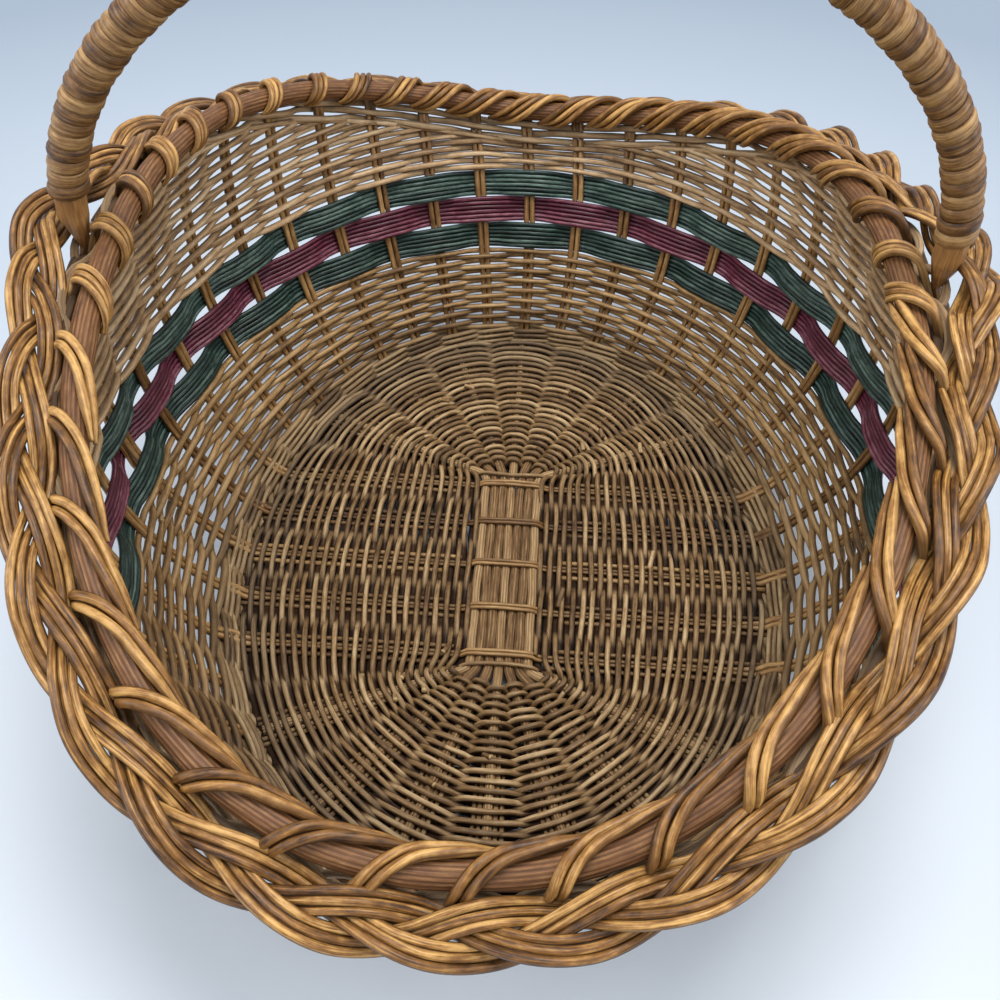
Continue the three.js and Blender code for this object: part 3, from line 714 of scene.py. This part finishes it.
def add_cross_stake(rods, row):
    """One pair of rods: up one wall, across the base, over the slath and up the other wall."""
    y = spoke_start(row)[1]
    over = BASE_Z + STICK_PITCH / 2 + SLATH_ROD
    end = BASE_HALF[0] * math.cos(station_angle(row))
    halves = {}
    for place, side in ((row, 1), (HALF_ROUND + CROSS_STAKES - 1 - row, -1)):
        corners = [[0, y, over + 0.3], [side * (SLATH_HALF_WIDTH - 1.0), y, over - 0.2],
                   [side * (SLATH_HALF_WIDTH + 2.2), y, BASE_Z], [side * (end - 4), y, BASE_Z],
                   [side * (end + 1), y, BASE_Z + 4]]
        lead = smoothed(polyline(corners), 5)[::3]
        for path, out, size, worn, sign in stake_rods(place):
            if sign == 0:
                rods.add(path, -out, size, worn=worn, **STAKE_STYLE)
                continue
            bend = smooth((np.abs(lead[:, 0]) - end + 20) / 20)
            shift = sign * (SLATH_ROD_SHIFT + (STAKE_ROD_SHIFT - SLATH_ROD_SHIFT) * bend)
            own_lead = lead - side * np.outer(shift, (0, 1, 0))
            points = np.concatenate([own_lead, path[2:]])
            up = np.concatenate([np.broadcast_to(UP, own_lead.shape), -out[2:]])
            radii = np.concatenate([SLATH_ROD + (STAKE_ROD - SLATH_ROD) * bend, size[2:]])
            # Painted shade on the stake's stretch through the base's weave
            dark = 0.4 * smooth((np.abs(lead[:, 0]) - SLATH_HALF_WIDTH - 1) / 4) * (1 - bend)
            deep = np.concatenate([dark, 0 * worn[2:]])
            worn = np.concatenate([0 * bend, worn[2:]])
            halves[side * sign, side] = points, up, radii, worn, deep
    tone = 0.95 if row == 0 else None
    for sign in (-1, 1):
        points, up, radii, worn, deep = (np.concatenate([left[:0:-1], right])
                                         for left, right in zip(halves[sign, -1], halves[sign, 1]))
        rods.add(points, up, radii, tone=tone, worn=worn, deep=deep, **STAKE_STYLE)
    # Loose rods beside the stakes, fresh and pale in the middle row; the others dusty and darkened with
    # painted shade
    fresh = row == CROSS_STAKES // 2
    for side in (1, -1):
        for shift in (-LOOSE_ROD_SHIFT, LOOSE_ROD_SHIFT):
            start = SLATH_HALF_WIDTH + 4 + 12 * rods.random.rand()
            xs = side * np.linspace(start, end - 2, 30)
            path = np.stack([xs, y + shift + 0 * xs, BASE_Z - 0.6 + 0 * xs], -1)
            rods.add(path, UP, LOOSE_ROD, grime=0 if fresh else base_dust_and_shade(path),
                     tone=0.97 if fresh else None, deep=0 if fresh else 0.35)


# Wall

# The weavers stand off further where they pass the tongues of the handle
TONGUE_DETOUR = 3.3
LOWER_ROWS = 16
LOWER_LENGTHS = 19
LOWER_START = 33
WALL_STAND = 1.8
BAND_STAND = 2.5
UPPER_LOW_ROWS = 5
UPPER_LOW_PITCH = 3.5
UPPER_TOP_ROWS = 3
UPPER_TOP_PITCH = 4.0
UPPER_TOP_STAND = 3.2
WEDGE_PITCH = 3.05
RIM_MARGIN = 5.0
# A weaver's radius as a share of its row's pitch, and how much less it is on the far wall
ROD_SHARE = 0.55
FAR_OPENING = 0.075


def weave_offset(place, phase, stand, sharpness):
    """Distance off the stakes' middle: out at even stations for phase 1, in at odd ones."""
    offset = phase * stand * rounded(np.cos(math.pi * place), sharpness)
    for handle in HANDLE_PLACES:
        away = np.mod(place - handle + HALF_ROUND, STATIONS) - HALF_ROUND
        offset = offset + TONGUE_DETOUR * np.exp(-(away / 0.4) ** 2) * (offset > 0)
    return offset


def wall_path(place, height, offset):
    """Points at a distance off the stakes' middle, and the outward directions."""
    point, out, _ = wall_frame(station_angle(place), height)
    return point + out * np.asarray(offset)[:, None], out


def band_edge(angle, row):
    """Height counted in coloured bands from the belly, where the burgundy one has its middle."""
    return height_near(angle, belly_at(angle), row * BAND_ROW)


# Dust and painted shade at the wall's foot, fading out a little way up
def wall_dust_and_shade(height):
    return 0.5 * (1 - smooth(np.asarray(height) / 0.35))


def rod_share(angle):
    return ROD_SHARE - FAR_OPENING * np.clip(np.sin(angle), 0, 1) ** 2


def add_lower_weaver(rods, phase, first_row):
    """One of two that chase each other, each climbing two rows where its turn ends."""
    place = LOWER_START + np.arange(0, LOWER_ROWS // 2 * STATIONS, 0.125)
    turn = (place - LOWER_START) / STATIONS
    row = first_row + 2 * np.floor(turn) + 2 * smooth((turn % 1 - 0.93) / 0.07)
    row = np.minimum(row, LOWER_ROWS - 1)
    angle = station_angle(place)
    bottom = height_near(angle, 0, FOOT_CLIMB)
    top = band_edge(angle, -1.5)
    height = bottom + (top - bottom) * (row + 0.5) / LOWER_ROWS
    height = height + 0.005 * np.sin(TAU * place / 9.7 + 3 * phase)
    path, out = wall_path(place, height, weave_offset(place, phase, WALL_STAND, 1.5))
    radius = rod_share(angle) * (top - bottom) / LOWER_ROWS * wall_frame(angle, height)[2]
    # Painted shade, darkest at the near end and fading out on the far half
    shade = 0.4 * np.clip(0.25 - np.sin(angle), 0, 1)
    for part in np.array_split(np.arange(len(path)), LOWER_LENGTHS):
        piece = slice(max(part[0] - 1, 0), part[-1] + 1)
        rods.add(path[piece], out[piece], radius[piece], taper=(0.8, 0.8),
                 grime=wall_dust_and_shade(height[piece]), uneven=0.07, deep=shade[piece])


def add_band(rods, row, phase):
    """A band of rods side by side, a little closer together where it stands out."""
    place = np.arange(0, STATIONS, 0.1)
    angle = station_angle(place)
    middle = band_edge(angle, row)
    speed = wall_frame(angle, middle)[2]
    offset = weave_offset(place, phase, BAND_STAND, 1.3)
    gather = 1 - 0.05 * smooth(offset / 3)
    for index in range(BAND_RODS):
        shift = (index - (BAND_RODS - 1) / 2) * BAND_ROD_PITCH * gather
        path, out = wall_path(place, middle + shift / speed, offset)
        rods.add(path, out, BAND_ROD, closed=True, uneven=0.04, wander=0.1)


def upper_lengths(angle):
    """Heights from the bands' top edge to the rim, and the wall's length up to each of them."""
    bottom = band_edge(angle, 1.5)
    heights = bottom[None] + (2 - bottom[None]) * np.linspace(0, 1, 13)[:, None]
    points = wall_point(np.broadcast_to(angle, heights.shape), heights)
    lengths = np.cumsum(np.linalg.norm(np.diff(points, axis=0), axis=-1), 0)
    return heights, np.concatenate([0 * lengths[:1], lengths])


def upper_room(angle):
    """Millimetres of wall between the bands and the rim that rows can fill."""
    return upper_lengths(angle)[1][-1] - RIM_MARGIN


def height_up(angle, distance):
    heights, lengths = upper_lengths(angle)
    distance = distance + 0 * angle
    return np.array([np.interp(distance[k], lengths[:, k], heights[:, k]) for k in range(len(angle))])


def add_upper_rows(rods, parity):
    """Rows along the bands and the rim, and short rows between them at the handle's feet."""
    phase = 1 - 2 * parity
    full = np.arange(0, STATIONS, 0.125)
    angle = station_angle(full)
    room = upper_room(angle)
    low_size = UPPER_LOW_ROWS * UPPER_LOW_PITCH
    top_size = UPPER_TOP_ROWS * UPPER_TOP_PITCH
    squeeze = np.minimum(1, (room - top_size) / low_size)
    for row in range(parity, UPPER_LOW_ROWS, 2):
        height = height_up(angle, (row + 0.5) * UPPER_LOW_PITCH * squeeze)
        path, out = wall_path(full, height, weave_offset(full, phase, WALL_STAND, 1.5))
        rods.add(path, out, rod_share(angle) * UPPER_LOW_PITCH * squeeze, closed=True, uneven=0.07)
    gap = room - low_size - top_size
    rows = int(gap.max() / WEDGE_PITCH)
    for row in range((parity + UPPER_LOW_ROWS) % 2, rows, 2):
        for middle in HANDLE_PLACES:
            span = np.arange(middle - 12, middle + 13)
            space = upper_room(station_angle(span)) - low_size - top_size > (row + 0.6) * WEDGE_PITCH
            outside = phase * np.cos(math.pi * span) > 0
            if not space.any():
                continue
            first = max(span[outside & ~space & (span < middle)], default=middle - 8)
            last = min(span[outside & ~space & (span > middle)], default=middle + 8)
            place = np.arange(first - 0.2, last + 0.2001, 0.125)
            own_angle = station_angle(place)
            own_room = upper_room(own_angle) - top_size
            distance = np.minimum(low_size + (row + 0.5) * WEDGE_PITCH, own_room + 0.6)
            path, out = wall_path(place, height_up(own_angle, distance),
                                  weave_offset(place, phase, WALL_STAND, 1.5))
            rods.add(path, out, rod_share(own_angle) * WEDGE_PITCH, taper=(0.7, 0.7), uneven=0.07)
    for row in range((parity + UPPER_LOW_ROWS + rows) % 2, UPPER_TOP_ROWS, 2):
        distance = room - (UPPER_TOP_ROWS - 1 - row + 0.5) * UPPER_TOP_PITCH
        offset = weave_offset(full, phase, UPPER_TOP_STAND, 1.4)
        path, out = wall_path(full, height_up(angle, distance), offset)
        rods.add(path, out, 0.45 * UPPER_TOP_PITCH, closed=True, uneven=0.1, wander=0.35, grime=0.18)


# Foot and rim

# The foot's two ropes: distance outside the base's edge, height and twists
FOOT_ROPES = (-1.2, 4.4, 45), (4.6, 7.2, 47)
FOOT_ROPE_ROD = 2.1
FOOT_ROPE_SPREAD = 2.3
FOOT_ROWS = 3
FOOT_ROW_PITCH = 3.1
FOOT_ROW_ROD = 1.35
FOOT_STAND = 2.8
# The hoop's filling rods: distances outwards and up from its middle
FILLING_RODS = (8.6, -4.6), (11.2, -5.6), (13.6, -6.2)
FILLING_ROD = 1.45
HANDLE_ROOM = 12
HANDLE_DROP = 5
PLAIT_LOOPS = 11
PLAIT_OFFSET = 16.6
PLAIT_SWING = 6.3
PLAIT_LIFT = 3.4
PLAIT_DETOUR = 60
PLAIT_SWING_OUT = 11.6


def plait_tilt(angle):
    """The plait lies level at the handle's feet and droops at both ends, soonest at the far left."""
    droop = np.sin(angle) ** 4
    soon = 0.85 * smooth((np.sin(angle) - 0.25) / 0.4) * (np.cos(angle) < 0)
    return np.radians(5 - 25 * np.maximum(droop, soon))[:, None]


def add_foot(rods):
    """A rope-like ring to stand on, and twisted rows round the stakes' bends."""
    place = np.arange(0, STATIONS, 0.1)
    angle = station_angle(place)
    for shift, z, twists in FOOT_ROPES:
        middle = oval(angle, (BASE_HALF[0] + shift, BASE_HALF[1] + shift), z)
        along = unit(np.roll(middle, -1, 0) - np.roll(middle, 1, 0))
        out = np.cross(along, UP)
        for strand in range(3):
            turn = (twists * angle + strand * TAU / 3)[:, None]
            path = middle + FOOT_ROPE_SPREAD * (out * np.cos(turn) + UP * np.sin(turn))
            rods.add(path, out, FOOT_ROPE_ROD, closed=True, sides=7, wander=0.0, grime=0.25)
    for row in range(FOOT_ROWS):
        for strand in range(3):
            cycle = (place * (STATIONS - 1) / STATIONS + strand) * TAU / 3
            height = height_near(angle, 0, 1.5 + FOOT_ROW_PITCH * row)
            height = height_near(angle, height, 0.7 * np.sin(cycle))
            offset = FOOT_STAND * np.clip(rounded(np.cos(cycle) + 0.35, 1.4), -1, 1)
            path, out = wall_path(place, height, offset)
            rods.add(path, out, FOOT_ROW_ROD, closed=True, grime=0.35)


def add_core(rods):
    """The hoop is one thick ribbed rod, with dusty filling rods outside it."""
    angle = np.linspace(0, TAU, 480, endpoint=False)
    point, _, out, rise = hoop_frame(angle)
    # The ribs' valleys get painted shade
    rods.add(point, rise, HOOP_RADIUS, closed=True, sides=72, flutes=18, flute_depth=0.025, grain=4,
             crevice=0, uneven=0.02, tone=0.5)
    tilt = plait_tilt(angle)
    outward = out * np.cos(tilt) + rise * np.sin(tilt)
    upward = rise * np.cos(tilt) - out * np.sin(tilt)
    at_handle = np.abs(point[:, 1] - RIM_LEAN[1])[:, None] <= HANDLE_ROOM
    for strand, (across, above) in enumerate(FILLING_RODS):
        wobble = 0.5 * np.sin(17 * angle + 2 * strand)[:, None]
        path = point + outward * (across + wobble)
        path = path + upward * np.where(at_handle, above - HANDLE_DROP, above)
        rods.add(path, out, FILLING_ROD, closed=True, grime=0.75)


def plait_path(angle, strand):
    """Points, upward directions and the swing's phase."""
    point, along, out, rise = hoop_frame(angle)
    tilt = plait_tilt(angle)
    outward = out * np.cos(tilt) + rise * np.sin(tilt)
    upward = np.cross(outward, along)
    away = np.abs(point[:, 1] - RIM_LEAN[1])
    detour = PLAIT_SWING_OUT * np.cos(math.pi / 2 * np.minimum(away / PLAIT_DETOUR, 1)) ** 2
    cycle = PLAIT_LOOPS * angle + TAU * strand / 3
    lateral = PLAIT_OFFSET + detour + PLAIT_SWING * np.sin(cycle)
    lift = PLAIT_LIFT * rounded(np.sin(2 * cycle), 1.2)
    return point + outward * lateral[:, None] + upward * lift[:, None], upward, cycle


def add_plait_strand(rods, strand):
    """Three rods side by side that roll a little as the strand swings."""
    angle = np.linspace(0, TAU, 880, endpoint=False)
    path, upward, cycle = plait_path(angle, strand)
    tangent = unit(np.roll(path, -1, 0) - np.roll(path, 1, 0))
    side = unit(np.cross(tangent, upward))
    flat = np.cross(side, tangent)
    roll = 0.5 * np.cos(cycle)[:, None]
    for shift in (-PLAIT_ROD_PITCH, 0.0, PLAIT_ROD_PITCH):
        own = path + side * shift * np.cos(roll) + flat * shift * np.sin(roll)
        # Each rod's sides get painted shade
        rods.add(own, upward, PLAIT_ROD, closed=True, sides=8, crevice=0.75)


# Handle

HANDLE_HALF_SPAN = HOOP_HALF[0] + 15.71
HANDLE_RISE = 127
HANDLE_SKEW = 6
HANDLE_FOOT_LIFT = 6
CANE_START = 6.0
CANE_PITCH = 5.6
CANE_STEPS = 20
# The cane's section: place along the handle and distance from its middle
CANE_SECTION = (-2.9, 6.25), (-2.7, 7.0), (-1.2, 7.6), (1.0, 7.75), (2.6, 7.3), (3.0, 6.5), (0, 6.15)


def arch_frame(turn):
    """Point of the handle's middle and the direction out of the arch."""
    foot = hoop_point(np.array([0.0]))[0]
    x = RIM_LEAN[0] + HANDLE_HALF_SPAN * np.cos(turn) + HANDLE_SKEW * np.sin(turn)
    z = foot[2] + HANDLE_FOOT_LIFT + HANDLE_RISE * np.sin(turn)
    point = np.stack([x, foot[1] + 0 * turn, z], -1)
    run = HANDLE_SKEW * np.cos(turn) - HANDLE_HALF_SPAN * np.sin(turn)
    forward = unit(np.stack([run, 0 * turn, HANDLE_RISE * np.cos(turn)], -1))
    out = np.stack([forward[:, 2], 0 * turn, -forward[:, 0]], -1)
    return point, out


def add_cane(rods):
    """One strip of cane wound round the handle, each turn lapping the last a little."""
    turn = np.linspace(0, math.pi, 4000)
    reach = lengths_along(arch_frame(turn)[0])
    loops = int((reach[-1] - 2 * CANE_START - CANE_PITCH) / CANE_PITCH)
    place, height = np.array(CANE_SECTION).T
    step = np.arange(loops * CANE_STEPS + 1)
    around = TAU * step / CANE_STEPS
    middle = CANE_START - place[0] + CANE_PITCH * step / CANE_STEPS
    at = np.interp(middle[:, None] + place, reach, turn)
    centre, out = (values.reshape(*at.shape, 3) for values in arch_frame(at.ravel()))
    spin = out * np.cos(around)[:, None, None] + np.array([0, 1, 0]) * np.sin(around)[:, None, None]
    wobble = 1 + 0.03 * np.sin(step // CANE_STEPS * 1.7)
    rings = centre + spin * (height * wobble[:, None])[..., None]
    run = (step * TAU * 7 / CANE_STEPS / 10)[:, None]
    fibre = np.stack(np.broadcast_arrays(run, place / 1.5, height / 2), -1)
    tone = 0.5 + 0.4 * np.sin(step / CANE_STEPS * 2.3)
    # Painted shade on the strip's edges and its inner face
    edge = 0.7 * (height[::-1] < 6.8)
    rods.skin(rings[:, ::-1], False, fibre[:, ::-1], tone, edge)


# Pieces

def drawn(seed, add, *choices):
    """Rods with random draws of their own."""
    rods = Rods(seed)
    add(rods, *choices)
    return rods


drawn(1, add_foot).build("foot_wale_rods", base_rattan, "base_rattan", ["foot_wale"])

for number in range(LONG_STICKS):
    stick = f"long_stick_{number + 1}"
    rods = drawn(10 + number, add_long_stick, number)
    rods.build(stick, stick_rattan, "stick_rattan", [f"base_{stick}"])

for row in range(CROSS_STAKES):
    stake = f"cross_stake_{row + 1}"
    rods = drawn(20 + row, add_cross_stake, row)
    rods.build(f"{stake}_rods", stake_rattan, "stake_rattan", [stake])

for number, (phase, start) in enumerate(((1, 0), (-1, HALF_ROUND))):
    weaver = f"base_weaver_{number + 1}"
    rods = drawn(30 + number, add_base_weaver, phase, start)
    rods.build(f"{weaver}_rod", base_rattan, "base_rattan", [weaver])

end_places = [place for place in range(STATIONS) if place % HALF_ROUND >= CROSS_STAKES]
for number, place in enumerate(end_places):
    stake = f"end_stake_{number + 1:02d}"
    rods = drawn(40 + number, add_end_stake, place)
    rods.build(f"{stake}_rods", stake_rattan, "stake_rattan", [stake])

for number in range(2):
    weaver = f"lower_weaver_{number + 1}"
    rods = drawn(80 + number, add_lower_weaver, 1 - 2 * number, number)
    rods.build(f"{weaver}_rod", wall_rattan, "wall_rattan", [weaver])
    weaver = f"upper_weaver_{number + 1}"
    rods = drawn(90 + number, add_upper_rows, number)
    rods.build(f"{weaver}_rod", top_rattan, "wall_rattan", [weaver])

for band, row, phase, material, slot in (
    ("lower_green_band", -1, -1, green_rattan, "green_dyed_rattan"),
    ("burgundy_band", 0, 1, burgundy_rattan, "burgundy_dyed_rattan"),
    ("upper_green_band", 1, -1, green_rattan, "green_dyed_rattan"),
):
    drawn(100 + row, add_band, row, phase).build(f"{band}_rods", material, slot, [band])

drawn(110, add_core).build("rim_core_rods", core_rattan, "rim_core", ["rim_hoop"])
for number in range(3):
    strand = f"plait_strand_{number + 1}"
    rods = drawn(120 + number, add_plait_strand, number)
    rods.build(f"{strand}_rods", border_rattan, "plait_rattan", [strand])

drawn(130, add_cane).build("handle_cane", cane, "handle_cane", ["handle_wrap"])
core_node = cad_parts["handle_core"]
core_node.data.materials.clear()
core_node.data.materials.append(rattan("handle_rod", ((110, 72, 38), (160, 116, 66), (196, 154, 100)),
                                       roughness=0.5, coat=0.2, by_object=True))


# Stage, light and camera, in metres

FLOOR_SIZE = 12
# The floor's colour is a painted pool of light: palest here and darkest beyond the second reach
PALEST_FLOOR = (0, -0.25, 0)
PALE_REACH, DARK_REACH = 0.15, 0.95


def pale_floor():
    bpy.ops.mesh.primitive_plane_add(size=FLOOR_SIZE, location=(0, 0, 0))
    floor = bpy.context.object
    floor.name = "floor"
    material = bpy.data.materials.new("floor")
    material.use_nodes = True
    nodes, link = material.node_tree.nodes, material.node_tree.links.new
    shader = nodes["Principled BSDF"]
    reach = nodes.new("ShaderNodeVectorMath")
    reach.operation = "DISTANCE"
    reach.inputs[1].default_value = PALEST_FLOOR
    link(nodes.new("ShaderNodeTexCoord").outputs["Object"], reach.inputs[0])
    ramp = nodes.new("ShaderNodeMapRange")
    ramp.inputs["From Min"].default_value = PALE_REACH
    ramp.inputs["From Max"].default_value = DARK_REACH
    link(reach.outputs["Value"], ramp.inputs["Value"])
    # Painted pool of light, from pale near the basket to darker far off
    shades = nodes.new("ShaderNodeValToRGB")
    shades.color_ramp.elements[0].color = colour(197, 204, 213)
    shades.color_ramp.elements[1].color = colour(137, 149, 163)
    link(ramp.outputs["Result"], shades.inputs["Fac"])
    link(shades.outputs["Color"], shader.inputs["Base Color"])
    shader.inputs["Roughness"].default_value = 0.9
    shader.inputs["Specular IOR Level"].default_value = 0.1
    floor.data.materials.append(material)


def area_light(name, place, target, size, power, tint):
    data = bpy.data.lights.new(name, "AREA")
    data.shape = "DISK"
    data.size = size
    data.energy = power
    data.color = tint
    light = bpy.data.objects.new(name, data)
    light.location = place
    light.rotation_euler = (Vector(target) - Vector(place)).to_track_quat("-Z", "Y").to_euler()
    scene.collection.objects.link(light)


def pale_world():
    """A pale background to look at, and softer light from all sides."""
    world = bpy.data.worlds.new("world")
    scene.world = world
    world.use_nodes = True
    nodes, link = world.node_tree.nodes, world.node_tree.links.new
    nodes.clear()
    output = nodes.new("ShaderNodeOutputWorld")
    path = nodes.new("ShaderNodeLightPath")
    mix = nodes.new("ShaderNodeMixShader")
    soft = nodes.new("ShaderNodeBackground")
    soft.inputs["Color"].default_value = (0.92, 0.96, 1.0, 1)
    soft.inputs["Strength"].default_value = 0.9
    seen = nodes.new("ShaderNodeBackground")
    seen.inputs["Color"].default_value = colour(206, 217, 228)
    shown = path.outputs["Is Camera Ray"]
    for kind in ("Is Glossy Ray", "Is Transmission Ray"):
        either = nodes.new("ShaderNodeMath")
        either.operation = "MAXIMUM"
        link(shown, either.inputs[0])
        link(path.outputs[kind], either.inputs[1])
        shown = either.outputs[0]
    link(shown, mix.inputs["Fac"])
    link(soft.outputs["Background"], mix.inputs[1])
    link(seen.outputs["Background"], mix.inputs[2])
    link(mix.outputs["Shader"], output.inputs["Surface"])


# Fitted to the photograph: place in millimetres from the base's middle, then angles in degrees
CAMERA_PLACE = (10.18, -364.5, 451.8)
CAMERA_YAW, CAMERA_PITCH, CAMERA_ROLL = -2.22, 47.23, 1.72
CAMERA_FOCUS = 1150 / 1000
SENSOR_WIDTH = 36


def photo_camera():
    yaw, pitch, roll = (math.radians(a) for a in (CAMERA_YAW, CAMERA_PITCH, CAMERA_ROLL))
    forward = Vector((math.sin(yaw) * math.cos(pitch), math.cos(yaw) * math.cos(pitch),
                      -math.sin(pitch)))
    right = Vector((math.cos(yaw), -math.sin(yaw), 0))
    above = right.cross(forward)
    across = right * math.cos(roll) + above * math.sin(roll)
    upward = -right * math.sin(roll) + above * math.cos(roll)
    data = bpy.data.cameras.new("camera")
    data.sensor_fit = "HORIZONTAL"
    data.sensor_width = SENSOR_WIDTH
    data.lens = SENSOR_WIDTH * CAMERA_FOCUS
    data.clip_start = 0.02
    camera = bpy.data.objects.new("camera", data)
    place = (np.array(CAMERA_PLACE) + ORIGIN) * MM
    turn = Matrix((across, upward, -forward)).transposed().to_4x4()
    camera.matrix_world = Matrix.Translation(Vector(place)) @ turn
    scene.collection.objects.link(camera)
    scene.camera = camera


pale_floor()
pale_world()
area_light("key", (0.2, 0.2, 2.6), (0, 0, 0), size=1.3, power=52, tint=(1.0, 0.98, 0.95))
area_light("fill", (-0.8, -1.4, 1.5), (0, 0.1, 0.1), size=0.6, power=6, tint=(0.97, 0.98, 1.0))
for side in (-1, 1):
    area_light("side", (1.7 * side, -0.3, 1.0), (0, 0, 0), size=1.0, power=12, tint=(0.98, 0.99, 1.0))
photo_camera()
scene.view_settings.view_transform = "Standard"
